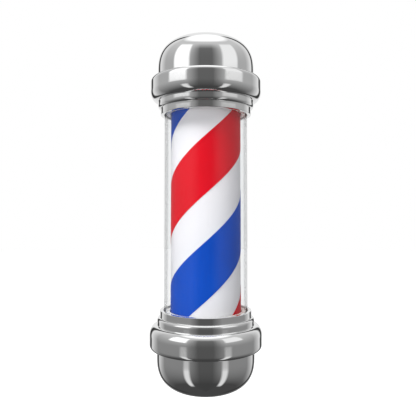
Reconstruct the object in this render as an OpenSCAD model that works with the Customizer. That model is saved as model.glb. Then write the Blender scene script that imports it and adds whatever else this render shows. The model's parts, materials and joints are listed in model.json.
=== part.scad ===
// Wall-hung barber pole light with a revolving striped drum.
// Two chromed end assemblies clamp a clear tube. Inside it a striped drum runs on
// two ball bearings round a fixed hollow pipe that carries the lamp. A small geared
// synchronous motor under the lower end plate turns the drum through a spur pair.
// Frame: wall face is the plane Y = 0, the room is on -Y, +Z is up, and the origin
// is the centre of the four wall holes.

/* [Overall] */
// Distance from the wall face to the axis of the pole
axis_gap = 120; // [116:1:135]
// Outer radius of the wide band on each end ring
ring_r = 100; // [99:0.5:101]
// Height from the middle of the pole to the mouth of each collar
mouth_z = 174; // [170:1:176]

/* [Clear tube] */
// Outer radius of the clear tube
tube_r = 75; // [74:0.5:75]
// Wall of the clear tube
tube_wall = 3; // [2:0.5:4]

/* [Drum] */
// Outer radius of the white drum sleeve
drum_r = 62.5; // [60:0.5:64]
// Wall of the drum sleeve
sleeve_wall = 1; // [0.8:0.1:1.5]
// Rise of a stripe in one full turn
stripe_lead = 352; // [300:1:420]
// Height of each coloured stripe, measured along the pole
stripe_h = 100; // [70:1:110]
// Height of the lower edge of the blue stripe at the front of the pole
blue_z = -150; // [-170:1:-120]
// Height of the lower edge of the red stripe at the front of the pole
red_z = 30.5; // [10:0.5:50]

/* [Domes] */
// Outer radius of both end domes
dome_r = 87; // [86:0.5:88]
// Height of the crowned part of each dome
dome_h = 64.5; // [62:0.5:65]
// Squareness of the dome section, 2 is a true ellipse
dome_n = 2.8; // [2.6:0.1:2.9]
// Wall of the domes
dome_wall = 1.4; // [1.2:0.1:2]

/* [Drive] */
// Teeth on the gear under the drum
gear_teeth = 80; // [80:20:80]
// Teeth on the motor pinion
pinion_teeth = 20; // [20:20:20]
// Tooth module
tooth_m = 1; // [1:1:1]

/* [Wall mounting] */
// Width between the wall holes
hole_dx = 60; // [50:1:64]
// Height between the wall holes
hole_dz = 400; // [390:1:406]
// Radius of the wall holes
hole_r = 3.25; // [2.5:0.05:4]

/* [Hidden] */
$fn = 96;

chrome = [0.80, 0.81, 0.82];
steel = [0.60, 0.61, 0.63];
zinc = [0.70, 0.71, 0.72];
rubber_c = [0.08, 0.08, 0.085];
black_c = [0.05, 0.05, 0.055];
white_c = [0.93, 0.92, 0.93];
red_c = [0.78, 0.03, 0.08];
blue_c = [0.02, 0.22, 0.66];
nylon_c = [0.90, 0.89, 0.84];
brass_c = [0.78, 0.62, 0.28];

tube_end = mouth_z + 22;    // ends of the clear tube
seat_z = tube_end + 2;      // ledge that the tube gasket sits on
plate_z = 228;              // inner face of each end plate
plate_t = 2;
rim_z = 240;                // outer face of each end ring, where the dome starts
crown_z = 252;              // where the dome starts to close
apex_z = crown_z + dome_h;
pipe_r = 5;
pipe_end = 240;
gear_c = tooth_m * (gear_teeth + pinion_teeth) / 2;
band_a = 360 * stripe_h / stripe_lead;
drum_end = 188;
panel_y = 73;               // outer face of the control panel
panel_z = -261;             // centre of the control panel
sw_x = [-21, -3];           // the two switches
gland_x = 19;
rock_y = panel_y - 1.5;     // pivot of the rockers
rock_tilt = 12;

module pole() translate([0, -axis_gap, 0]) children();
module flip() mirror([0, 0, 1]) children();
module both() { children(); flip() children(); }
module ring(r1, r0, z0, z1) difference() {
  translate([0, 0, z0]) cylinder(r = r1, h = z1 - z0);
  translate([0, 0, z0 - 1]) cylinder(r = r0, h = z1 - z0 + 2);
}
module rod(r, z0, z1) translate([0, 0, z0]) cylinder(r = r, h = z1 - z0);
module hexbar(af, z0, z1) translate([0, 0, z0]) cylinder(r = af / 2 / cos(30), h = z1 - z0, $fn = 6);
// Pan-head screw, head face down on z = 0, shank along -Z.
module pan_screw(d, l, hd, hh) {
  translate([0, 0, -l]) cylinder(r = d / 2, h = l + hh / 2, $fn = 32);
  difference() {
    intersection() {
      cylinder(r = hd / 2, h = hh, $fn = 48);
      translate([0, 0, hh - hd * 0.9]) sphere(r = hd * 0.9, $fn = 48);
    }
    for (a = [0, 90]) rotate([0, 0, a]) translate([-hd * 0.32, -0.5, hh - 1.1]) cube([hd * 0.64, 1, 2]);
  }
}
module hex_nut(af, h, r) difference() {
  cylinder(r = af / 2 / cos(30), h = h, $fn = 6);
  translate([0, 0, -1]) cylinder(r = r, h = h + 2, $fn = 32);
}

// ---- end rings -------------------------------------------------------------
function quarter(r0, z0, r1, z1, n) =      // convex quarter, flat at (r0,z0), upright at (r1,z1)
  [for (i = [0:n]) [r0 + (r1 - r0) * sin(90 * i / n), z1 - (z1 - z0) * cos(90 * i / n)]];
function lip(r0, z0, r1, z1, n) =          // convex quarter, upright at (r0,z0), flat at (r1,z1)
  [for (i = [0:n]) [r1 + (r0 - r1) * cos(90 * i / n), z0 + (z1 - z0) * sin(90 * i / n)]];

// Section of a chromed end ring, pressed from sheet.
collar_outer = concat(
  [[tube_r + 0.6, mouth_z], [80.9, mouth_z], [81.7, mouth_z + 0.8]],
  quarter(81.8, 185.5, 86.5, 191, 7),
  [[86.5, 198.5]],
  quarter(87.5, 198.7, ring_r, 216.5, 12),
  lip(ring_r, 232.5, 94.5, rim_z, 7),
  [[80, rim_z], [80, rim_z - 1.6]],
  [for (i = [7:-1:0]) lip(ring_r - 1.6, 232.5, 94, rim_z - 1.6, 7)[i]],
  [for (i = [12:-1:0]) quarter(86.9, 200.4, ring_r - 1.6, 217, 12)[i]],
  [[84.9, 200.3]],
  [for (i = [7:-1:0]) quarter(79.9, 187.1, 84.9, 192.4, 7)[i]],
  [[79.9, mouth_z + 1.6], [tube_r + 0.6, mouth_z + 1.6]]);
// Section of the moulded ring inside it: a channel for the tube, a lip that closes the gap
// round the drum, and a flange that takes the end plate.
seat_section = [[tube_r + 0.4, mouth_z + 1.7], [79.8, mouth_z + 1.7], [79.8, 187.5], [84.7, 193], [84.7, 196],
  [80.5, 201], [80.5, 225], [ring_r - 1.8, 225], [ring_r - 1.8, plate_z], [72, plate_z], [72, 225], [77.5, 225], [77.5, 201],
  [tube_r - tube_wall - 2, 201], [tube_r - tube_wall - 2, mouth_z + 4], [drum_r + 2, mouth_z + 4],
  [drum_r + 2, mouth_z + 2.2], [tube_r - tube_wall - 0.4, mouth_z + 2.2], [tube_r - tube_wall - 0.4, seat_z],
  [tube_r + 0.4, seat_z]];

module collar_shell() difference() {
  rotate_extrude($fn = 144) polygon(collar_outer);
  translate([-26, 80, 229.6]) cube([52, 40, 3.8]);
}
module upper_collar() color(chrome) pole() collar_shell();
module lower_collar() color(chrome) pole() flip() collar_shell();
module tube_seats() color(nylon_c) pole() both() difference() {
  rotate_extrude($fn = 96) polygon(seat_section);
  for (a = [45:90:315]) rotate([0, 0, a]) translate([75, 0, 220]) cylinder(r = 1.25, h = 12, $fn = 32);
}

// ---- domes -----------------------------------------------------------------
function crown(r, h, n) = [for (i = [0:n]) let (t = 90 * i / n)
  [i == n ? 0 : r * pow(cos(t), 2 / dome_n), crown_z + h * pow(sin(t), 2 / dome_n)]];
module dome_solid(r, h) rotate_extrude($fn = 144)
  polygon(concat([[0, rim_z], [r, rim_z]], crown(r, h, 26)));
module dome_shell() {
  difference() {
    dome_solid(dome_r, dome_h);
    difference() {
      translate([0, 0, 0]) rotate_extrude($fn = 144)
        polygon(concat([[0, rim_z - 1], [dome_r - dome_wall, rim_z - 1]], crown(dome_r - dome_wall, dome_h - dome_wall, 26)));
      ring(dome_r, 81, 241.5, 244);
    }
    rod(2.7, apex_z - 8, apex_z + 5);
  }
}
module upper_dome() color(chrome) pole() dome_shell();
// The lower dome has a boxed window at the back for the control panel.
module lower_bowl() color(chrome) pole() difference() {
  union() {
    flip() dome_shell();
    intersection() {
      flip() dome_solid(dome_r - 0.5, dome_h - 0.5);
      translate([-38.5, panel_y, panel_z - 16.5]) cube([77, 30, 32.5]);
    }
  }
  translate([-32, 60, panel_z - 12]) cube([64, 40, 24]);
  for (x = [-34.3, 34.3]) for (z = [-11.5, 11.5])
    translate([x, panel_y - 2, panel_z + z]) rotate([-90, 0, 0]) cylinder(r = 0.95, h = 6, $fn = 24);
}
module tube_gaskets() color(rubber_c) pole() both() ring(tube_r + 0.3, tube_r - tube_wall - 0.2, tube_end, seat_z);
module dome_gaskets() color(rubber_c) pole() both() ring(84.6, 81, rim_z, 241.5);
module clear_tube() color([0.85, 0.92, 0.95, 0.3]) pole() ring(tube_r, tube_r - tube_wall, -tube_end, tube_end);

// ---- fixed frame inside ----------------------------------------------------
module end_plate() difference() {
  rod(78, plate_z, plate_z + plate_t);
  rod(pipe_r + 0.1, plate_z - 1, plate_z + 5);
  for (a = [45:90:315]) rotate([0, 0, a]) translate([75, 0, plate_z - 1]) cylinder(r = 1.6, h = 5, $fn = 32);
  for (x = [-18, 18]) translate([x, 50, plate_z - 1]) cylinder(r = 2.6, h = 5, $fn = 32);
}
module upper_end_plate() color(steel) pole() end_plate();
motor_xy = [-gear_c + 8, 0];
module lower_end_plate() color(steel) pole() difference() {
  flip() end_plate();
  translate([-gear_c, 0, -plate_z - 4]) cylinder(r = 6, h = 8);
  for (y = [-29.5, 29.5]) translate([motor_xy[0], y, -plate_z - 4]) cylinder(r = 1.6, h = 8, $fn = 32);
  for (y = [-36, 36]) translate([39, y, -plate_z - 4]) cylinder(r = 1.6, h = 8, $fn = 32);
  for (x = [-5.5, 5.5]) translate([x, -52, -plate_z - 4]) cylinder(r = 1.25, h = 8, $fn = 32);
}
module plate_screws() color(zinc) pole() both()
  for (a = [45:90:315]) rotate([0, 0, a]) translate([75, 0, plate_z + plate_t]) pan_screw(2.4, 8, 5, 2);
module centre_pipe() color(steel) pole() difference() {
  ring(pipe_r, 3.5, -pipe_end, pipe_end);
  translate([0, 0, -162]) rotate([-90, 0, 0]) cylinder(r = 2.6, h = 10, $fn = 32);
}
module pipe_nuts() color(zinc) pole() both() {
  translate([0, 0, 221.5]) hex_nut(17, 5, pipe_r + 0.02);
  translate([0, 0, 231.5]) hex_nut(17, 5, pipe_r + 0.02);
}
module pipe_washers() color(zinc) pole() both() {
  ring(10.5, pipe_r + 0.15, 226.5, 228);
  ring(10.5, pipe_r + 0.15, 230, 231.5);
}
module standoff() difference() {
  hexbar(14, 236.5, apex_z - dome_wall - 0.3);
  rod(pipe_r + 0.02, 236, 241);
  rod(4, 240, 258);
  rod(2.45, 257, apex_z);
}
module upper_standoff() color(zinc) pole() standoff();
module lower_standoff() color(zinc) pole() difference() {
  flip() standoff();
  translate([-3, 0, -257]) cube([6, 12, 13]);
}
module cap_screw() translate([0, 0, apex_z + 1]) pan_screw(4.8, 18, 10, 3);
module cap_screws() color(chrome) pole() both() cap_screw();
module cap_washers() color(nylon_c) pole() both() ring(6.5, 2.5, apex_z, apex_z + 1);
module bearing_spacer() color(zinc) pole() ring(7, pipe_r + 0.02, -221.5, -215);
module set_collars() color(zinc) pole() {
  ring(9, pipe_r + 0.02, 198, 205);
  ring(9, pipe_r + 0.02, 150, 157);
  ring(9, pipe_r + 0.02, -157, -150);
}

// ---- ball bearings, 10 x 26 x 8 ----------------------------------------------
up_b = 194;
lo_b = -211;
ball_r = 2.38;
ball_p = 9.1;
module race(r0, r1, zc) translate([0, 0, zc]) rotate_extrude($fn = 96) difference() {
  translate([r0, -4]) square([r1 - r0, 8]);
  translate([ball_p, 0]) circle(r = 2.45, $fn = 48);
}
module bearing_inners() color(steel) pole() { race(pipe_r + 0.02, 7.4, up_b); race(pipe_r + 0.02, 7.4, lo_b); }
module bearing_outers() color(steel) pole() { race(10.8, 12.98, up_b); race(10.8, 12.98, lo_b); }
module bearing_balls() color(zinc) pole() for (z = [up_b, lo_b]) for (i = [0:6])
  rotate([0, 0, 360 / 7 * i]) translate([ball_p, 0, z]) sphere(r = ball_r, $fn = 48);

// ---- lamp ------------------------------------------------------------------
module led_core() color([0.75, 0.76, 0.78]) pole() difference() {
  translate([-11, -11, -150]) cube([22, 22, 300]);
  rod(pipe_r + 0.1, -151, 151);
}
module led_boards() color(white_c) pole() for (a = [0:90:270]) rotate([0, 0, a])
  translate([-6, 11, -148]) cube([12, 1.6, 296]);
module led_chips() color([0.95, 0.86, 0.45]) pole() for (a = [0:90:270]) rotate([0, 0, a])
  for (i = [0:10]) translate([-2.5, 12.6, -137.5 + 26 * i]) cube([5, 1.4, 5]);

// ---- motor and gears -------------------------------------------------------
module motor_case() color([0.62, 0.60, 0.55]) pole() difference() {
  union() {
    translate([motor_xy[0], 0, -250]) cylinder(r = 25, h = 18.8);
    translate([motor_xy[0], 0, -231.2]) cylinder(r = 24, h = 1.2);
    translate([motor_xy[0] - 5, -33, -231.2]) cube([10, 66, 1.2]);
    translate([-gear_c, 0, -231]) cylinder(r = 5.5, h = 4);
  }
  translate([-gear_c, 0, -237]) cylinder(r = 3.05, h = 12);
  for (y = [-29.5, 29.5]) translate([motor_xy[0], y, -234]) cylinder(r = 1.6, h = 8, $fn = 32);
}
module motor_screws() color(zinc) pole() for (y = [-29.5, 29.5])
  translate([motor_xy[0], y, -231.2]) rotate([180, 0, 0]) pan_screw(2.9, 5, 5.6, 2.2);
function inv(c) = tan(acos(c)) * 180 / PI - acos(c);
function flank(z, m, r, bl) = 90 / z + inv(cos(20)) - inv(min(1, m * z / 2 * cos(20) / r)) - bl / (m * z) * 180 / PI;
function tooth(z, m, bl) = let (rb = m * z / 2 * cos(20), ra = m * z / 2 + m, rf = m * z / 2 - 1.25 * m, rs = max(rb, rf), n = 4)
  concat([[rf, -flank(z, m, rs, bl)]],
    [for (i = [0:n]) let (r = rs + (ra - rs) * i / n) [r, -flank(z, m, r, bl)]],
    [for (i = [n:-1:0]) let (r = rs + (ra - rs) * i / n) [r, flank(z, m, r, bl)]],
    [[rf, flank(z, m, rs, bl)]]);
module spur(z, m, h, bl) linear_extrude(height = h)
  polygon([for (k = [0:z - 1]) for (p = tooth(z, m, bl)) let (a = 360 * k / z + p[1]) [p[0] * cos(a), p[0] * sin(a)]]);
module motor_pinion() color(nylon_c) pole() translate([-gear_c, 0, 0]) {
  difference() {
    union() {
      translate([0, 0, -222]) rotate([0, 0, 180 / pinion_teeth]) spur(pinion_teeth, tooth_m, 8, 0.12);
      rod(3, -236, -222);
      rod(7, -225.4, -222);
    }
    translate([0, 0, -218]) cylinder(r = 2, h = 5, $fn = 32);
  }
}
module drum_gear() color(nylon_c) pole() difference() {
  translate([0, 0, -221]) spur(gear_teeth, tooth_m, 6, 0.12);
  rod(9.4, -222, -214);
  for (a = [30:120:270]) rotate([0, 0, a]) translate([15.6, 0, -222]) cylinder(r = 1.6, h = 8, $fn = 32);
  for (a = [30:60:330]) rotate([0, 0, a]) translate([27.5, 0, -222]) cylinder(r = 6, h = 8, $fn = 48);
}
module gear_screws() color(zinc) pole() for (a = [30:120:270]) rotate([0, 0, a])
  translate([15.6, 0, -221]) rotate([180, 0, 0]) pan_screw(2.4, 12, 5, 2);

// ---- drum ------------------------------------------------------------------
module drum_sleeve() color(white_c) pole() ring(drum_r, drum_r - sleeve_wall, -drum_end, drum_end);
// A film band wound round the drum: its lower edge is at height z0 at the front.
// The grid is sheared so that every facet stands upright on the drum.
module stripe(z0) {
  n = 14;
  dz = stripe_h / n;
  da = band_a / n;
  m = floor((2 * drum_end - 3) / dz);
  zb = -m * dz / 2;
  a0 = -90 + 360 * (zb - z0 - stripe_h) / stripe_lead;
  w = n + 1;
  pts = [for (r = [drum_r + 0.5, drum_r + 0.2]) for (k = [0:m]) for (i = [0:n])
    let (a = a0 + (k + i) * da) [r * cos(a), r * sin(a), zb + k * dz]];
  q = (m + 1) * w;
  faces = concat(
    [for (k = [0:m - 1]) for (i = [0:n - 1]) for (t = [0, 1]) let (b = k * w + i)
      t == 0 ? [b, b + w, b + 1] : [b + 1, b + w, b + w + 1]],
    [for (k = [0:m - 1]) for (i = [0:n - 1]) for (t = [0, 1]) let (b = q + k * w + i)
      t == 0 ? [b, b + 1, b + w] : [b + 1, b + w + 1, b + w]],
    [for (k = [0:m - 1]) for (t = [0, 1]) let (b = k * w)
      t == 0 ? [b, q + b, b + w] : [q + b, q + b + w, b + w]],
    [for (k = [0:m - 1]) for (t = [0, 1]) let (b = k * w + n)
      t == 0 ? [b, b + w, q + b] : [q + b, b + w, q + b + w]],
    [for (i = [0:n - 1]) for (t = [0, 1]) t == 0 ? [i, i + 1, q + i] : [i + 1, q + i + 1, q + i]],
    [for (i = [0:n - 1]) for (t = [0, 1]) let (b = m * w + i)
      t == 0 ? [b, q + b, b + 1] : [b + 1, q + b, q + b + 1]]);
  polyhedron(pts, faces, convexity = 8);
}
module red_stripe() color(red_c) pole() stripe(red_z);
module blue_stripe() color(blue_c) pole() stripe(blue_z);
module web_holes(z0, z1) for (a = [0:60:300]) rotate([0, 0, a]) translate([40, 0, z0]) cylinder(r = 12, h = z1 - z0);
module drum_upper_disc() color(nylon_c) pole() difference() {
  union() {
    rod(drum_r - sleeve_wall - 0.05, 184, 188);
    ring(drum_r - sleeve_wall - 0.05, 58, 172, 188);
    rod(18, 184, 198);
  }
  rod(13, 190, 200);
  rod(8.2, 180, 200);
  web_holes(180, 190);
}
module drum_lower_disc() color(nylon_c) pole() difference() {
  union() {
    rod(drum_r - sleeve_wall - 0.05, -188, -184);
    ring(drum_r - sleeve_wall - 0.05, 58, -188, -172);
    rod(19, -215, -184);
  }
  rod(13, -216, -207);
  rod(8.2, -220, -180);
  for (a = [30:120:270]) rotate([0, 0, a]) translate([15.6, 0, -216]) cylinder(r = 1.25, h = 9, $fn = 32);
  web_holes(-190, -180);
}

// ---- lower service bay -----------------------------------------------------
module led_driver() color([0.88, 0.88, 0.87]) pole() difference() {
  union() {
    translate([23, -31, -254]) cube([32, 62, 22]);
    translate([30, -41, -232]) cube([18, 82, 2]);
  }
  for (y = [-36, 36]) translate([39, y, -235]) cylinder(r = 1.6, h = 8, $fn = 32);
  for (i = [-2:2]) translate([22, i * 10 - 1, -255]) cube([34, 2, 1.8]);
}
module driver_screws() color(zinc) pole() for (y = [-36, 36])
  translate([39, y, -232]) rotate([180, 0, 0]) pan_screw(2.9, 5, 5.6, 2.2);
module terminal_block() color(white_c) pole() difference() {
  translate([-18, -59, -243]) cube([36, 14, 13]);
  for (i = [-1:1]) {
    translate([i * 11, -52, -245]) cylinder(r = 2.6, h = 9, $fn = 32);
    translate([i * 11, -60, -234]) rotate([-90, 0, 0]) cylinder(r = 1.8, h = 16, $fn = 32);
  }
  for (x = [-5.5, 5.5]) translate([x, -52, -245]) {
    cylinder(r = 1.35, h = 18, $fn = 32);
    cylinder(r = 2.7, h = 4.5, $fn = 32);
  }
}
module terminal_screws() color(zinc) pole() for (x = [-5.5, 5.5])
  translate([x, -52, -240.5]) rotate([180, 0, 0]) pan_screw(2.4, 14, 5, 2);
module control_panel() color(black_c) pole() difference() {
  translate([-36, panel_y - 2.5, panel_z - 14.5]) cube([72, 2.5, 29]);
  for (x = sw_x) translate([x - 6.8, panel_y - 4, panel_z - 10.4]) cube([13.6, 6, 20.8]);
  translate([gland_x, panel_y - 4, panel_z]) rotate([-90, 0, 0]) cylinder(r = 6.3, h = 6);
  for (x = [-34.3, 34.3]) for (z = [-11.5, 11.5])
    translate([x, panel_y - 4, panel_z + z]) rotate([-90, 0, 0]) cylinder(r = 1.15, h = 6, $fn = 24);
}
module panel_screws() color(zinc) pole() for (x = [-34.3, 34.3]) for (z = [-11.5, 11.5])
  translate([x, panel_y - 2.5, panel_z + z]) rotate([90, 0, 0]) pan_screw(1.8, 6, 3.2, 1.3);
module switch_case(x) color(black_c) pole() difference() {
  union() {
    translate([x - 7.5, panel_y, panel_z - 11.5]) cube([15, 2, 23]);
    translate([x - 6.7, panel_y - 16, panel_z - 10.3]) cube([13.4, 16, 20.6]);
  }
  translate([x - 5.5, rock_y, panel_z]) rotate([0, 90, 0]) cylinder(r = 9, h = 11);
  translate([x - 6.3, rock_y, panel_z]) rotate([0, 90, 0]) cylinder(r = 1.25, h = 12.6, $fn = 32);
}
module light_switch_case() switch_case(sw_x[0]);
module spin_switch_case() switch_case(sw_x[1]);
module switch_terminals() color(brass_c) pole() for (x = sw_x) for (z = [-6, 6])
  translate([x - 2.4, panel_y - 23, panel_z + z - 0.4]) cube([4.8, 7, 0.8]);
// A rocker, tilted to its lower stop; its face is a shallow V.
module rocker(x) color([0.10, 0.10, 0.105]) pole() translate([x, rock_y, panel_z]) rotate([-rock_tilt, 0, 0]) {
  difference() {
    translate([-5.2, 0, 0]) rotate([0, 90, 0]) cylinder(r = 8.7, h = 10.4);
    translate([-8, 0, 0]) rotate([90, 0, 90]) linear_extrude(height = 16)
      polygon([[4.2, 0], [4.2 + 12 * tan(rock_tilt), 12], [20, 12], [20, -12], [4.2 + 12 * tan(rock_tilt), -12]]);
    translate([-8, -12, -12]) cube([16, 10, 24]);
  }
  translate([-6.1, 0, 0]) rotate([0, 90, 0]) cylinder(r = 1.2, h = 12.2, $fn = 32);
}
module light_rocker() rocker(sw_x[0]);
module spin_rocker() rocker(sw_x[1]);
module at_gland(y) translate([gland_x, y, panel_z]) rotate([-90, 0, 0]) children();
module gland_body() color(black_c) pole() difference() {
  union() {
    at_gland(panel_y) cylinder(r = 9.6, h = 4, $fn = 6);
    at_gland(62) cylinder(r = 6, h = 23);
  }
  at_gland(60) cylinder(r = 4.6, h = 30);
}
module gland_seal() color(rubber_c) pole() difference() {
  at_gland(74) cylinder(r = 4.55, h = 12);
  at_gland(72) cylinder(r = 3.3, h = 20);
}
module gland_nut() color(black_c) pole() difference() {
  union() {
    at_gland(77.5) cylinder(r = 9.2, h = 7, $fn = 6);
    at_gland(84.5) cylinder(r1 = 7.9, r2 = 6, h = 5);
  }
  at_gland(76) cylinder(r = 6.1, h = 10.1);
  at_gland(84) cylinder(r = 3.9, h = 10);
}
module gland_locknut() color(black_c) pole() difference() {
  at_gland(66.5) cylinder(r = 9.6, h = 4, $fn = 6);
  at_gland(60) cylinder(r = 6.02, h = 20);
}

// ---- wall mounting ---------------------------------------------------------
module hanger_arm() difference() {
  translate([-25, 36, plate_z + plate_t]) cube([50, 80, 3]);
  for (x = [-18, 18]) for (y = [50, 109]) translate([x, y, plate_z]) cylinder(r = 2.6, h = 8, $fn = 32);
}
module upper_hanger_arm() color(steel) pole() hanger_arm();
module lower_hanger_arm() color(steel) pole() flip() hanger_arm();
module wall_angle() difference() {
  union() {
    translate([-40, -2.5, 180]) cube([80, 2.5, 50]);
    translate([-28, -18.5, 227.5]) cube([56, 18.5, 2.5]);
  }
  for (x = [-hole_dx / 2, hole_dx / 2]) translate([x, -5, hole_dz / 2]) rotate([-90, 0, 0]) cylinder(r = hole_r, h = 10);
  for (x = [-18, 18]) translate([x, 109 - axis_gap, 220]) cylinder(r = 2.6, h = 15, $fn = 32);
}
module upper_wall_angle() color(steel) wall_angle();
module lower_wall_angle() color(steel) flip() wall_angle();
module hanger_screws() color(zinc) pole() both() for (x = [-18, 18]) translate([x, 50, 0]) {
  translate([0, 0, plate_z + plate_t + 3]) pan_screw(4.8, 10, 9, 3.2);
  translate([0, 0, plate_z - 4]) hex_nut(8, 4, 2.45);
}
module bracket_bolts() color(zinc) pole() both() for (x = [-18, 18]) translate([x, 109, 0]) {
  translate([0, 0, 233]) rotate([0, 0, 90]) cylinder(r = 4.6, h = 3.4, $fn = 6);
  translate([0, 0, 220]) cylinder(r = 2.4, h = 13.5, $fn = 32);
  translate([0, 0, 223.5]) rotate([0, 0, 90]) hex_nut(8, 4, 2.45);
}

// ---- wiring ----------------------------------------------------------------
function unit(v) = v / norm(v);
function cr(p, i, t) = let (n = len(p) - 1, a = p[max(0, i - 1)], b = p[i], c = p[i + 1], d = p[min(n, i + 2)])
  0.5 * (2 * b + (c - a) * t + (2 * a - 5 * b + 4 * c - d) * t * t + (3 * b - a - 3 * c + d) * t * t * t);
function smooth(p, k) = concat([for (i = [0:len(p) - 2]) for (j = [0:k - 1]) cr(p, i, j / k)], [p[len(p) - 1]]);
module wire(pts, r, up, k = 3, s = 8) {
  q = smooth(pts, k);
  n = len(q);
  v = [for (i = [0:n - 1]) let (t = unit(q[min(n - 1, i + 1)] - q[max(0, i - 1)]),
    a = unit(cross(t, up)), b = cross(t, a)) for (j = [0:s - 1]) q[i] + r * (cos(360 * j / s) * a + sin(360 * j / s) * b)];
  polyhedron(v, concat([[for (j = [0:s - 1]) j]], [[for (j = [s - 1:-1:0]) (n - 1) * s + j]],
    [for (i = [0:n - 2]) for (j = [0:s - 1]) [i * s + j, (i + 1) * s + j, (i + 1) * s + (j + 1) % s, i * s + (j + 1) % s]]), convexity = 8);
}
module motor_wire() color([0.75, 0.1, 0.1]) pole()
  wire([[-30, -18, -250.05], [-30, -18.2, -253], [-27, -25, -257], [-20, -39, -256], [-12.5, -50, -250], [-11, -52, -244], [-11, -52, -238]], 1.1, [1, 0.1, 0.05], 3, 6);
module lamp_wire() color([0.85, 0.85, 0.83]) pole()
  wire([[39, 31.05, -243], [39, 34, -243.3], [37, 40, -247.5], [29, 42, -253], [19, 36, -256], [10, 25, -256.5], [4, 13.5, -255], [0.5, 5, -251], [0, 0.6, -244], [0, 0, -236], [0, 0, -205], [0, 0, -175], [0, 0.3, -168.5], [0, 3, -163.2], [0, 7.5, -161.5], [0, 11.8, -158.5], [0, 13.75, -153], [0, 13.75, -146]], 1.1, [1, 0.02, 0.03], 3, 6);
module switch_wires() color([0.1, 0.25, 0.6]) pole() for (x = sw_x) let (o = (x + 12) / 7.5)
  wire([[x, 49.9, -255], [x, 46, -255.4], [x * 0.8 - 3, 37, -258.5], [-13 + o, 24, -262], [-13 + o, 0, -264], [-12 + o, -24, -262], [-6 + o, -43, -254], [o, -51.5, -245], [o, -52, -238]], 0.9, [1, 0.1, 0.05], 3, 6);

upper_dome();
upper_collar();
lower_collar();
lower_bowl();
clear_tube();
tube_seats();
tube_gaskets();
dome_gaskets();
upper_end_plate();
lower_end_plate();
plate_screws();
centre_pipe();
pipe_nuts();
pipe_washers();
upper_standoff();
lower_standoff();
cap_screws();
cap_washers();
bearing_spacer();
set_collars();
bearing_inners();
led_core();
led_boards();
led_chips();
motor_case();
motor_screws();
led_driver();
driver_screws();
terminal_block();
terminal_screws();
control_panel();
panel_screws();
light_switch_case();
spin_switch_case();
switch_terminals();
gland_body();
gland_seal();
gland_nut();
gland_locknut();
upper_hanger_arm();
lower_hanger_arm();
upper_wall_angle();
lower_wall_angle();
hanger_screws();
bracket_bolts();
motor_wire();
lamp_wire();
switch_wires();
drum_sleeve();
red_stripe();
blue_stripe();
drum_upper_disc();
drum_lower_disc();
drum_gear();
gear_screws();
bearing_outers();
bearing_balls();
motor_pinion();
light_rocker();
spin_rocker();
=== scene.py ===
import bpy, bmesh, json, math
from mathutils import Vector, Matrix

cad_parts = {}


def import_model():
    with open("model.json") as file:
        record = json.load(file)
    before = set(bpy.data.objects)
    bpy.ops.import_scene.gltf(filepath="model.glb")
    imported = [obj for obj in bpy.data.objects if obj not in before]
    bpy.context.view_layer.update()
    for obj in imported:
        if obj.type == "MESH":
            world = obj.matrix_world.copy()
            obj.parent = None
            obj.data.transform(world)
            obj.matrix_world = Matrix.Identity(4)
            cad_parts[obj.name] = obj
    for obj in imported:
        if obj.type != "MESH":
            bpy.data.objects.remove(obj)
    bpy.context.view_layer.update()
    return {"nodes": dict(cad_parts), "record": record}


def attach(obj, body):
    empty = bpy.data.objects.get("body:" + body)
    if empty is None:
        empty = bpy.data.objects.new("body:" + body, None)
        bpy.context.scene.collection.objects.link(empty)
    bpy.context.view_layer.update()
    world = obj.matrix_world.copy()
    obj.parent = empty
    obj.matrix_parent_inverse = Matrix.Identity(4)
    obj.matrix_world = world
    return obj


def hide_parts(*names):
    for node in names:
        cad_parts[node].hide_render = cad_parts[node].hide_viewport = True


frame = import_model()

scene = bpy.context.scene
nodes_cad = frame["nodes"]

# ------------------------------------------------------------------ the pole's own numbers, in metres
AX = Vector((0.0, -0.120, 0.0))      # the pole's axis
MM = 0.001

# ------------------------------------------------------------------ material helpers
def new_mat(name):
    m = bpy.data.materials.new(name)
    m.use_nodes = True
    nt = m.node_tree
    nt.nodes.clear()
    out = nt.nodes.new("ShaderNodeOutputMaterial")
    return m, nt, out

def principled(nt, out, **kw):
    b = nt.nodes.new("ShaderNodeBsdfPrincipled")
    for k, v in kw.items():
        b.inputs[k].default_value = v
    nt.links.new(b.outputs[0], out.inputs["Surface"])
    return b

def coords(nt, scale=(1, 1, 1)):
    tc = nt.nodes.new("ShaderNodeTexCoord")
    mp = nt.nodes.new("ShaderNodeMapping")
    mp.inputs["Scale"].default_value = scale
    nt.links.new(tc.outputs["Object"], mp.inputs["Vector"])
    return mp.outputs["Vector"]

def noise(nt, vec, scale, detail=3.0, rough=0.5, dist=0.0):
    n = nt.nodes.new("ShaderNodeTexNoise")
    n.inputs["Scale"].default_value = scale
    n.inputs["Detail"].default_value = detail
    n.inputs["Roughness"].default_value = rough
    n.inputs["Distortion"].default_value = dist
    nt.links.new(vec, n.inputs["Vector"])
    return n.outputs["Fac"]

def remap(nt, src, a, b, lo, hi):
    r = nt.nodes.new("ShaderNodeMapRange")
    r.inputs["From Min"].default_value = a
    r.inputs["From Max"].default_value = b
    r.inputs["To Min"].default_value = lo
    r.inputs["To Max"].default_value = hi
    nt.links.new(src, r.inputs["Value"])
    return r.outputs["Result"]

def ramp(nt, src, stops, interp="LINEAR"):
    r = nt.nodes.new("ShaderNodeValToRGB")
    r.color_ramp.interpolation = interp
    el = r.color_ramp.elements
    while len(el) > 1:
        el.remove(el[-1])
    el[0].position = stops[0][0]
    el[0].color = (*stops[0][1], 1)
    for p, c in stops[1:]:
        e = el.new(p)
        e.color = (*c, 1)
    nt.links.new(src, r.inputs["Fac"])
    return r.outputs["Color"]

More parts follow.
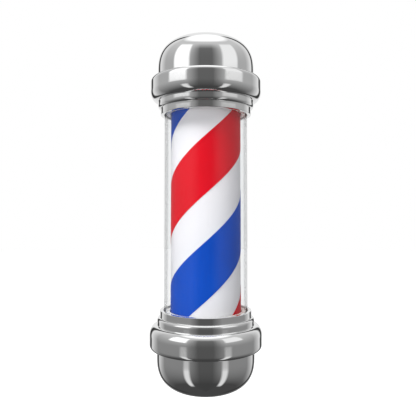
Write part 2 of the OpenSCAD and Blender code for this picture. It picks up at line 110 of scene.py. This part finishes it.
def mixcol(nt, fac, a, b):
    m = nt.nodes.new("ShaderNodeMix")
    m.data_type = "RGBA"
    if isinstance(fac, (int, float)):
        m.inputs[0].default_value = fac
    else:
        nt.links.new(fac, m.inputs[0])
    for i, v in ((6, a), (7, b)):
        if isinstance(v, tuple):
            m.inputs[i].default_value = (*v, 1) if len(v) == 3 else v
        else:
            nt.links.new(v, m.inputs[i])
    return m.outputs[2]

def bump(nt, bsdf, height, strength, dist, chain=None):
    b = nt.nodes.new("ShaderNodeBump")
    b.inputs["Strength"].default_value = strength
    b.inputs["Distance"].default_value = dist
    nt.links.new(height, b.inputs["Height"])
    if chain is not None:
        nt.links.new(chain, b.inputs["Normal"])
    nt.links.new(b.outputs[0], bsdf.inputs["Normal"])
    return b.outputs[0]

def math_(nt, op, a, b=None, clamp=False):
    m = nt.nodes.new("ShaderNodeMath")
    m.operation = op
    m.use_clamp = clamp
    for i, v in enumerate((a, b)):
        if v is None:
            continue
        if isinstance(v, (int, float)):
            m.inputs[i].default_value = v
        else:
            nt.links.new(v, m.inputs[i])
    return m.outputs[0]

# ------------------------------------------------------------------ materials
def mat_chrome(name="mirror_chrome", rip=0.10, dist=0.00014):
    m, nt, out = new_mat(name)
    b = principled(nt, out, Metallic=1.0)
    v = coords(nt)
    tone = noise(nt, v, 9, 3, 0.6)
    nt.links.new(mixcol(nt, tone, (0.87, 0.875, 0.88), (0.94, 0.94, 0.935)), b.inputs["Base Color"])
    haze = noise(nt, v, 24, 5, 0.62)
    nt.links.new(remap(nt, haze, 0.40, 0.80, 0.0, 0.045), b.inputs["Roughness"])
    # plating over moulded plastic is never quite flat
    wave = noise(nt, coords(nt, (1, 1, 0.35)), 42, 1.5, 0.45, 0.3)
    ripple = noise(nt, coords(nt, (1, 1, 0.6)), 84, 2, 0.6, 0.4)
    h = math_(nt, "ADD", wave, math_(nt, "MULTIPLY", ripple, rip))
    bump(nt, b, h, 1.0, dist)
    return m

def mat_acrylic():
    m, nt, out = new_mat("clear_acrylic")
    lw = nt.nodes.new("ShaderNodeLayerWeight")
    lw.inputs["Blend"].default_value = 0.5
    face = lw.outputs["Facing"]
    v = coords(nt)
    clear = nt.nodes.new("ShaderNodeBsdfTransparent")
    speck = noise(nt, v, 260, 3, 0.6)
    tint = mixcol(nt, remap(nt, speck, 0.60, 0.75, 0, 0.35), (0.992, 0.996, 0.998), (0.94, 0.95, 0.96))
    nt.links.new(mixcol(nt, math_(nt, "POWER", face, 9.0), tint, (0.90, 0.91, 0.92)), clear.inputs["Color"])
    gloss = nt.nodes.new("ShaderNodeBsdfGlossy")
    gloss.inputs["Color"].default_value = (1, 1, 1, 1)
    n = noise(nt, v, 40, 4, 0.6)
    nt.links.new(remap(nt, n, 0.35, 0.75, 0.0, 0.03), gloss.inputs["Roughness"])
    b = nt.nodes.new("ShaderNodeBump")
    b.inputs["Strength"].default_value = 0.5
    b.inputs["Distance"].default_value = 0.00012
    vs = coords(nt, (1, 1, 0.35))
    nt.links.new(noise(nt, vs, 70, 2, 0.5), b.inputs["Height"])
    nt.links.new(b.outputs[0], gloss.inputs["Normal"])
    f0 = 0.04
    fr = math_(nt, "ADD", math_(nt, "MULTIPLY", math_(nt, "POWER", face, 5.0), 1.0 - f0), f0, clamp=True)
    mix = nt.nodes.new("ShaderNodeMixShader")
    nt.links.new(fr, mix.inputs[0])
    nt.links.new(clear.outputs[0], mix.inputs[1])
    nt.links.new(gloss.outputs[0], mix.inputs[2])
    nt.links.new(mix.outputs[0], out.inputs["Surface"])
    return m

def mat_film(name, c1, c2, rough=0.28):
    m, nt, out = new_mat(name)
    b = principled(nt, out)
    b.inputs["Specular IOR Level"].default_value = 0.04
    v = coords(nt)
    n1 = noise(nt, v, 9, 3, 0.5)
    fine = noise(nt, coords(nt, (1, 1, 0.05)), 420, 2, 0.5)
    tone = math_(nt, "ADD", math_(nt, "MULTIPLY", n1, 0.6), math_(nt, "MULTIPLY", fine, 0.4))
    nt.links.new(mixcol(nt, remap(nt, tone, 0.38, 0.62, 0, 1), c1, c2), b.inputs["Base Color"])
    n2 = noise(nt, v, 160, 3, 0.6)
    nt.links.new(remap(nt, n2, 0.3, 0.7, rough - 0.05, rough + 0.06), b.inputs["Roughness"])
    bump(nt, b, noise(nt, coords(nt, (1, 1, 0.2)), 240, 2, 0.5), 0.15, 0.00005)
    return m

def mat_metal(name, c1, c2, rough=0.3, brush=(1, 1, 1), aniso=0.0, scale=120):
    m, nt, out = new_mat(name)
    b = principled(nt, out, Metallic=1.0)
    b.inputs["Anisotropic"].default_value = aniso
    v = coords(nt, brush)
    n1 = noise(nt, v, scale, 6, 0.7)
    nt.links.new(mixcol(nt, n1, c1, c2), b.inputs["Base Color"])
    nt.links.new(remap(nt, n1, 0.3, 0.7, rough - 0.08, rough + 0.1), b.inputs["Roughness"])
    bump(nt, b, n1, 0.12, 0.0001)
    return m

def mat_plastic(name, c1, c2, rough=0.45, grain=900, gstr=0.25):
    m, nt, out = new_mat(name)
    b = principled(nt, out)
    v = coords(nt)
    n1 = noise(nt, v, 40, 4, 0.6)
    nt.links.new(mixcol(nt, remap(nt, n1, 0.3, 0.7, 0, 1), c1, c2), b.inputs["Base Color"])
    n2 = noise(nt, v, grain, 3, 0.6)
    nt.links.new(remap(nt, n2, 0.3, 0.7, rough - 0.06, rough + 0.08), b.inputs["Roughness"])
    bump(nt, b, n2, gstr, 0.00012)
    return m

CHROME = mat_chrome()
RING_CHROME = mat_chrome("pressed_chrome", 0.42, 0.00017)
MATS = {
    "chrome_shell": CHROME,
    "cap_chrome": CHROME,
    "clear_acrylic": mat_acrylic(),
    "black_rubber": mat_plastic("black_rubber", (0.012, 0.012, 0.013), (0.028, 0.028, 0.03), 0.62, 700, 0.35),
    "plate_steel": mat_metal("zinc_sheet", (0.50, 0.51, 0.52), (0.66, 0.67, 0.68), 0.34, (1, 1, 1), 0.0, 60),
    "bracket_steel": mat_plastic("black_powder_coat", (0.018, 0.018, 0.019), (0.035, 0.035, 0.037), 0.42, 1400, 0.5),
    "zinc_steel": mat_metal("bright_zinc", (0.58, 0.60, 0.62), (0.74, 0.75, 0.76), 0.26, (1, 1, 1), 0.0, 300),
    "bearing_steel": mat_metal("ground_steel", (0.50, 0.51, 0.52), (0.62, 0.63, 0.64), 0.2, (1, 1, 6), 0.2, 200),
    "white_nylon": mat_plastic("natural_nylon", (0.74, 0.72, 0.65), (0.82, 0.80, 0.74), 0.42, 600, 0.2),
    "lamp_aluminium": mat_metal("extruded_aluminium", (0.66, 0.67, 0.69), (0.78, 0.79, 0.80), 0.32, (8, 8, 0.4), 0.3, 80),
    "lamp_board": mat_plastic("white_solder_mask", (0.80, 0.80, 0.78), (0.88, 0.88, 0.86), 0.35, 500, 0.15),
    "lamp_chip": mat_plastic("lamp_phosphor", (0.80, 0.60, 0.12), (0.90, 0.72, 0.22), 0.2, 900, 0.15),
    "motor_can": mat_metal("motor_can", (0.48, 0.45, 0.36), (0.62, 0.60, 0.50), 0.3, (1, 1, 1), 0.0, 90),
    "driver_plastic": mat_plastic("driver_case", (0.74, 0.74, 0.72), (0.82, 0.82, 0.80), 0.5, 1000, 0.4),
    "terminal_plastic": mat_plastic("terminal_nylon", (0.78, 0.77, 0.72), (0.86, 0.85, 0.80), 0.45, 700, 0.2),
    "black_plastic": mat_plastic("black_moulding", (0.014, 0.014, 0.015), (0.026, 0.026, 0.028), 0.42, 1200, 0.45),
    "rocker_plastic": mat_plastic("rocker_black", (0.010, 0.010, 0.011), (0.018, 0.018, 0.019), 0.16, 500, 0.08),
    "terminal_brass": mat_metal("tab_brass", (0.60, 0.45, 0.18), (0.74, 0.58, 0.28), 0.3),
    "red_wire": mat_plastic("red_insulation", (0.45, 0.02, 0.02), (0.58, 0.04, 0.04), 0.4, 900, 0.15),
    "white_wire": mat_plastic("white_insulation", (0.74, 0.73, 0.70), (0.84, 0.83, 0.80), 0.4, 900, 0.15),
    "blue_wire": mat_plastic("blue_insulation", (0.02, 0.08, 0.35), (0.04, 0.12, 0.45), 0.4, 900, 0.15),
    "sleeve_white": mat_film("drum_sheet", (0.845, 0.835, 0.86), (0.885, 0.875, 0.90), 0.42),
    "stripe_red": mat_film("red_film", (0.68, 0.0005, 0.010), (0.72, 0.0012, 0.014), 0.40),
    "stripe_blue": mat_film("blue_film", (0.0002, 0.066, 0.48), (0.0006, 0.076, 0.53), 0.40),
}
slot_of = {s["node"]: s["material_slot"] for s in frame["record"]["subparts"]}
for n, o in nodes_cad.items():
    if not o.material_slots:
        o.data.materials.append(MATS[slot_of[n]])
    for s in o.material_slots:
        s.material = MATS[slot_of[n]]

# ------------------------------------------------------------------ finer meshes
def add_mesh(name, verts, faces, slot, body, replaces, sharp=28.0):
    me = bpy.data.meshes.new(name)
    me.from_pydata([tuple(v) for v in verts], [], faces)
    me.validate()
    bm = bmesh.new()
    bm.from_mesh(me)
    bmesh.ops.recalc_face_normals(bm, faces=bm.faces)
    bm.to_mesh(me)
    bm.free()
    for p in me.polygons:
        p.use_smooth = True
    me.set_sharp_from_angle(angle=math.radians(sharp))
    ob = bpy.data.objects.new(name, me)
    scene.collection.objects.link(ob)
    me.materials.append(MATS[slot])
    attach(ob, body)
    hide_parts(*replaces)
    return ob

def lathe(profile, seg, closed=True):
    """Revolves (r, z) points in mm round the pole's axis; a point with r = 0 becomes a pole."""
    verts, rings = [], []
    for r, z in profile:
        if r <= 1e-9:
            rings.append([len(verts)])
            verts.append((AX.x, AX.y, z * MM))
        else:
            rings.append(list(range(len(verts), len(verts) + seg)))
            for k in range(seg):
                a = 2 * math.pi * k / seg
                verts.append((AX.x + r * MM * math.cos(a), AX.y + r * MM * math.sin(a), z * MM))
    faces = []
    n = len(profile)
    for i in range(n if closed else n - 1):
        a, b = rings[i], rings[(i + 1) % n]
        if len(a) == 1 and len(b) == 1:
            continue
        for k in range(seg):
            k2 = (k + 1) % seg
            if len(a) == 1:
                faces.append((a[0], b[k], b[k2]))
            elif len(b) == 1:
                faces.append((a[k], b[0], a[k2]))
            else:
                faces.append((a[k], b[k], b[k2], a[k2]))
    return verts, faces

def sleeve_piece():
    prof = [(62.5, z) for z in range(-188, 189, 8)] + [(61.5, 188), (61.5, -188)]
    v, f = lathe(prof, 288)
    return add_mesh("printed_drum_sheet", v, f, "sleeve_white", "drum", ["drum_sleeve"])

def stripe_piece(name, z0, slot, node):
    lead, h = 352.0, 100.0
    n, m = 84, 312
    verts, faces = [], []
    zb = -185.7
    dz = 2 * 185.7 / m
    w = n + 1
    for r in (63.0, 62.7):
        for k in range(m + 1):
            z = zb + dz * k
            for i in range(n + 1):
                t = (z - z0 - h) / lead + (h / lead) * i / n
                a = 2 * math.pi * t - math.pi / 2
                verts.append((AX.x + r * MM * math.cos(a), AX.y + r * MM * math.sin(a), z * MM))
    q = (m + 1) * w
    for k in range(m):
        for i in range(n):
            b = k * w + i
            faces.append((b, b + 1, b + w + 1, b + w))
            faces.append((q + b, q + b + w, q + b + w + 1, q + b + 1))
        b = k * w
        faces.append((b, b + w, q + b + w, q + b))
        b = k * w + n
        faces.append((b, q + b, q + b + w, b + w))
    for i in range(n):
        faces.append((i, q + i, q + i + 1, i + 1))
        b = m * w + i
        faces.append((b, b + 1, q + b + 1, q + b))
    return add_mesh(name, verts, faces, slot, "drum", [node])

def quarter(r0, z0, r1, z1, n):
    return [(r0 + (r1 - r0) * math.sin(math.pi / 2 * i / n), z1 - (z1 - z0) * math.cos(math.pi / 2 * i / n)) for i in range(n + 1)]

def lip(r0, z0, r1, z1, n):
    return [(r1 + (r0 - r1) * math.cos(math.pi / 2 * i / n), z0 + (z1 - z0) * math.sin(math.pi / 2 * i / n)) for i in range(n + 1)]

def lip_at(r0, z0, r1, z1, z):
    t = math.asin((z - z0) / (z1 - z0))
    return (r1 + (r0 - r1) * math.cos(t), z)

def shell(name, outer, inner, sign, slot, nodes, half, z_lo, z_hi, seg=300, win=26, cols=None):
    """A pressed shell from two skins that share their end points' order, with a window at the back from z_lo to z_hi."""
    def angles(r):
        h = math.asin(min(half / max(r, half * 1.02), 1.0)) if half else 0.0
        if not half:
            return [math.pi / 2 + 2 * math.pi * k / seg for k in range(seg)]
        a = [math.pi / 2 - h + 2 * h * k / win for k in range(win)]
        rest = seg - win
        return a + [math.pi / 2 + h + (2 * math.pi - 2 * h) * k / rest for k in range(rest)]
    verts, faces = [], []
    def skin(prof):
        rows = []
        for r, z in prof:
            rw = r if z_lo - 0.01 <= z <= z_hi + 0.01 else cols
            rows.append(list(range(len(verts), len(verts) + seg)))
            for a in angles(rw if half else 1):
                verts.append((AX.x + r * MM * math.cos(a), AX.y + r * MM * math.sin(a), sign * z * MM))
        return rows
    ro, ri = skin(outer), skin(inner)
    for prof, rows in ((outer, ro), (inner, ri)):
        for j in range(len(rows) - 1):
            za, zb = sorted((prof[j][1], prof[j + 1][1]))
            inside = half and za >= z_lo - 0.01 and zb <= z_hi + 0.01
            for k in range(seg):
                if inside and k < win:
                    continue
                k2 = (k + 1) % seg
                faces.append((rows[j][k], rows[j][k2], rows[j + 1][k2], rows[j + 1][k]))
    for a, b in ((ro[0], ri[0]), (ro[-1], ri[-1])):
        for k in range(seg):
            k2 = (k + 1) % seg
            faces.append((a[k], a[k2], b[k2], b[k]))
    if half:
        def within(prof):
            return [j for j, (r, z) in enumerate(prof) if z_lo - 0.01 <= z <= z_hi + 0.01 and r > half * 1.02]
        wo, wi = within(outer), within(inner)
        for oj, ij in ((wo[0], wi[0]), (wo[-1], wi[-1])):
            for k in range(win):
                faces.append((ro[oj][k], ro[oj][k + 1], ri[ij][k + 1], ri[ij][k]))
        for k in (0, win):
            faces.append(tuple([ro[j][k] for j in wo] + [ri[j][k] for j in reversed(wi)]))
    return verts, faces

def ring_shell(name, sign, node):
    outer = ([(75.6, 174.0), (80.8, 174.0), (81.35, 174.15), (81.65, 174.5), (81.7, 174.9)] + [(81.7, z) for z in (175.2, 178, 182, 185.0)] +
             quarter(81.75, 185.5, 86.5, 191, 10) + [(86.5, z) for z in (193, 195.5, 198.5)] +
             quarter(87.3, 198.7, 100, 216.5, 26) + [(100, z) for z in (219, 222, 225, 229.6, 231)] +
             [p for p in lip(100, 232.5, 94.5, 240, 12)] + [(92, 240), (88, 240), (84, 240), (80, 240)])
    outer.insert(outer.index((100.0, 232.5)) + 1 if (100.0, 232.5) in outer else 0, lip_at(100, 232.5, 94.5, 240, 233.4))
    outer = sorted(outer[:3], key=lambda q: q[0]) + outer[3:]
    inner = ([(75.6, 175.6), (79.9, 175.6), (79.9, 182)] + quarter(79.9, 187.1, 84.9, 192.4, 6) + [(84.9, 200.3)] +
             quarter(86.9, 200.4, 98.4, 217, 12) + [(98.4, 225), (98.4, 229.6), (98.4, 232.5), lip_at(98.4, 232.5, 94, 238.4, 233.4)] +
             lip(98.4, 232.5, 94, 238.4, 6)[2:] + [(80, 238.4)])
    v, f = shell(name, outer, inner, sign, "chrome_shell", [node], 26.0, 229.6, 233.4, seg=300, win=26, cols=99)
    ob = add_mesh(name, v, f, "chrome_shell", "housing", [node], 32)
    for i in range(len(ob.data.materials)):
        ob.data.materials[i] = RING_CHROME
    return ob

def crown(r, h, zs=()):
    pts = []
    n = 90
    for i in range(n + 1):
        t = math.pi / 2 * (1 - math.cos(math.pi * i / n)) / 2
        pts.append((r * max(math.cos(t), 0) ** (2 / 2.8), 252 + h * math.sin(t) ** (2 / 2.8)))
    for z in zs:
        pts.append((r * (1 - ((z - 252) / h) ** 2.8) ** (1 / 2.8), z))
    pts = [q for q in pts if q[0] > 2.7]
    pts.sort(key=lambda q: q[1])
    out = [pts[0]]
    for q in pts[1:]:
        if q[1] - out[-1][1] > 0.02 or out[-1][0] - q[0] > 0.4 or any(abs(q[1] - z) < 1e-6 for z in zs):
            out.append(q)
    out.append((2.7, 252 + h * (1 - (2.7 / r) ** 2.8) ** (1 / 2.8)))
    return out

def dome_piece():
    outer = [(87, z) for z in (240, 243, 246, 249)] + crown(87, 64.5)
    inner = [(85.6, 240), (85.6, 241.5), (81, 241.5), (81, 244), (85.6, 244)] + crown(85.6, 63.1)
    v, f = shell("d", outer, inner, 1, "chrome_shell", [], 0, 0, 0, seg=300)
    return add_mesh("polished_dome", v, f, "chrome_shell", "housing", ["upper_dome"], 32)

def bowl_piece():
    za, zb, hw = 248.85, 273.15, 32.15
    outer = [(87, z) for z in (240, 243, 246, za)] + crown(87, 64.5, (zb,))
    inner = [(85.6, 240), (85.6, 241.5), (81, 241.5), (81, 244), (85.6, 244), (85.6, za)] + crown(85.6, 63.1, (zb,))
    v, f = shell("b", outer, inner, -1, "chrome_shell", [], hw, za, zb, seg=300, win=40, cols=86)
    # the boxed frame that carries the control panel
    def loop(hx, z0, z1):
        nx, nz = 16, 8
        a = [(-hx + 2 * hx * i / nx, z0) for i in range(nx)] + [(hx, z0 + (z1 - z0) * i / nz) for i in range(nz)]
        a += [(hx - 2 * hx * i / nx, z1) for i in range(nx)] + [(-hx, z1 - (z1 - z0) * i / nz) for i in range(nz)]
        return a
    big, small = loop(38.5, -277.5, -245.0), loop(32.0, -273.0, -249.0)
    def skin_y(x, z):
        q = max(-z - 252, 0) / 64.5
        return math.sqrt((87 * (1 - q ** 2.8) ** (1 / 2.8)) ** 2 - x * x) - 0.7
    base = len(v)
    n = len(big)
    for pts, at in ((big, None), (small, None), (big, 1), (small, 1)):
        for px, pz in pts:
            yy = 73.0 if at is None else skin_y(px, pz)
            v.append((AX.x + px * MM, AX.y + yy * MM, pz * MM))
    B0, S0, B1, S1 = base, base + n, base + 2 * n, base + 3 * n
    for k in range(n):
        j = (k + 1) % n
        f += [(B0 + k, B0 + j, S0 + j, S0 + k), (B1 + k, B1 + j, S1 + j, S1 + k),
              (B0 + k, B0 + j, B1 + j, B1 + k), (S0 + k, S0 + j, S1 + j, S1 + k)]
    return add_mesh("polished_bowl", v, f, "chrome_shell", "housing", ["lower_bowl"], 32)

ring_shell("upper_end_ring", 1, "upper_collar")
ring_shell("lower_end_ring", -1, "lower_collar")
dome_piece()
bowl_piece()
sleeve_piece()
stripe_piece("red_film_band", 30.5, "stripe_red", "red_stripe")
stripe_piece("blue_film_band", -150.0, "stripe_blue", "blue_stripe")

# ------------------------------------------------------------------ stage
def floor():
    bm = bmesh.new()
    n, R = 64, 14.0
    rings = [[bm.verts.new((r * math.cos(2 * math.pi * k / n), r * math.sin(2 * math.pi * k / n), 0.0)) for k in range(n)]
             for r in (1.0, 3.0, R)]
    bm.faces.new(rings[0])
    for a, b in zip(rings, rings[1:]):
        for k in range(n):
            bm.faces.new((a[k], b[k], b[(k + 1) % n], a[(k + 1) % n]))
    me = bpy.data.meshes.new("floor")
    bm.to_mesh(me)
    bm.free()
    ob = bpy.data.objects.new("floor", me)
    ob.location = (0, 0, -1.05)
    scene.collection.objects.link(ob)
    m, nt, out = new_mat("pale_floor")
    b = principled(nt, out, Roughness=0.9)
    v = coords(nt)
    nt.links.new(mixcol(nt, noise(nt, v, 2, 3, 0.5), (0.50, 0.50, 0.50), (0.56, 0.56, 0.56)), b.inputs["Base Color"])
    b.inputs["Emission Color"].default_value = (1, 1, 1, 1)
    lp = nt.nodes.new("ShaderNodeLightPath")
    nt.links.new(math_(nt, "MULTIPLY", lp.outputs["Is Camera Ray"], 0.90), b.inputs["Emission Strength"])
    me.materials.append(m)
    ob.visible_glossy = False
floor()

def world():
    """A plain soft studio, for mirror-like rays: paler overhead than underfoot, a pale backdrop, one broad soft panel on
    each side above the pole's height and one overhead, a low strip panel on each side, the unlit end of the room behind
    the camera, and a dark flag each side of the backdrop so that chrome keeps an edge against it."""
    w = bpy.data.worlds.new("studio")
    scene.world = w
    w.use_nodes = True
    nt = w.node_tree
    nt.nodes.clear()
    out = nt.nodes.new("ShaderNodeOutputWorld")
    tc = nt.nodes.new("ShaderNodeTexCoord")
    sep = nt.nodes.new("ShaderNodeSeparateXYZ")
    nt.links.new(tc.outputs["Generated"], sep.inputs[0])
    x, y, z = sep.outputs
    M = lambda op, a, b=None, clamp=False: math_(nt, op, a, b, clamp)
    az = M("MULTIPLY", M("ARCTAN2", x, M("MULTIPLY", y, -1.0)), 180 / math.pi)
    el = M("MULTIPLY", M("ARCSINE", z), 180 / math.pi)
    side = M("ABSOLUTE", az)
    g = lambda v: (v, v, v)
    def band(src, a, b, soft):
        return M("MULTIPLY", remap(nt, src, a - soft, a + soft, 0, 1), remap(nt, src, b - soft, b + soft, 1, 0))
    room = mixcol(nt, remap(nt, el, -50, 50, 0, 1), g(0.06), g(0.60))
    room = mixcol(nt, M("MULTIPLY", remap(nt, side, 110, 140, 0, 1), remap(nt, el, -40, -10, 0, 1)), room, g(0.85))
    room = mixcol(nt, M("MULTIPLY", remap(nt, side, 15, 40, 0.8, 0), remap(nt, el, 35, 55, 1, 0)), room, g(0.05))
    for mid, bright in ((-60, 1.25), (60, 0.90)):
        panel = M("MULTIPLY", band(az, mid - 20, mid + 20, 3), band(el, 14, 50, 3))
        room = mixcol(nt, panel, room, g(bright))
    room = mixcol(nt, M("MULTIPLY", band(side, 38, 52, 3), band(el, -58, -16, 4)), room, g(0.75))
    room = mixcol(nt, M("MULTIPLY", band(side, 140, 155, 3), band(el, -60, 60, 5)), room, g(0.04))
    room = mixcol(nt, remap(nt, el, 60, 68, 0, 1), room, g(1.2))
    bg = nt.nodes.new("ShaderNodeBackground")
    nt.links.new(room, bg.inputs["Color"])
    bg.inputs["Strength"].default_value = 1.0
    plain = nt.nodes.new("ShaderNodeBackground")
    plain.inputs["Color"].default_value = (1, 1, 1, 1)
    plain.inputs["Strength"].default_value = 1.0
    soft = nt.nodes.new("ShaderNodeBackground")
    soft.inputs["Color"].default_value = (0.22, 0.22, 0.225, 1)
    soft.inputs["Strength"].default_value = 1.0
    lp = nt.nodes.new("ShaderNodeLightPath")
    dif = nt.nodes.new("ShaderNodeMixShader")
    nt.links.new(lp.outputs["Is Diffuse Ray"], dif.inputs[0])
    nt.links.new(bg.outputs[0], dif.inputs[1])
    nt.links.new(soft.outputs[0], dif.inputs[2])
    mix = nt.nodes.new("ShaderNodeMixShader")
    nt.links.new(lp.outputs["Is Camera Ray"], mix.inputs[0])
    nt.links.new(dif.outputs[0], mix.inputs[1])
    nt.links.new(plain.outputs[0], mix.inputs[2])
    nt.links.new(mix.outputs[0], out.inputs["Surface"])
world()

def area(name, loc, target, size, power, color=(1, 1, 1)):
    li = bpy.data.lights.new(name, "AREA")
    li.shape = "RECTANGLE"
    li.size, li.size_y = size
    li.energy = power
    li.color = color
    ob = bpy.data.objects.new(name, li)
    ob.location = loc
    d = Vector(target) - Vector(loc)
    ob.rotation_euler = d.to_track_quat("-Z", "Y").to_euler()
    ob.visible_camera = False
    ob.visible_glossy = False
    scene.collection.objects.link(ob)
area("key_soft", (-0.85, -1.30, 2.5), (0, -0.12, 0), (1.1, 1.1), 118)
area("front_soft", (-0.9, -2.4, 0.0), (0, -0.12, 0), (1.4, 1.6), 19)
area("fill_soft", (1.9, -1.3, 1.5), (0, -0.12, 0), (1.1, 1.1), 15)
area("back_soft", (0.4, 2.4, 1.2), (0, -0.12, 0), (2.0, 2.0), 40)

# ------------------------------------------------------------------ camera
cam = bpy.data.cameras.new("camera")
cam_ob = bpy.data.objects.new("camera", cam)
scene.collection.objects.link(cam_ob)
cam.sensor_width = 36.0
cam.lens = 501.9 * 36 / 416
cam.shift_y = -0.041
D, ZC = 0.9075, -0.0042
cam_ob.location = (0.0, AX.y - D, ZC)
cam_ob.rotation_euler = (math.radians(90 + 2.75), 0, math.radians(-0.25))
scene.camera = cam_ob
scene.view_settings.view_transform = "Standard"
scene.view_settings.look = "None"
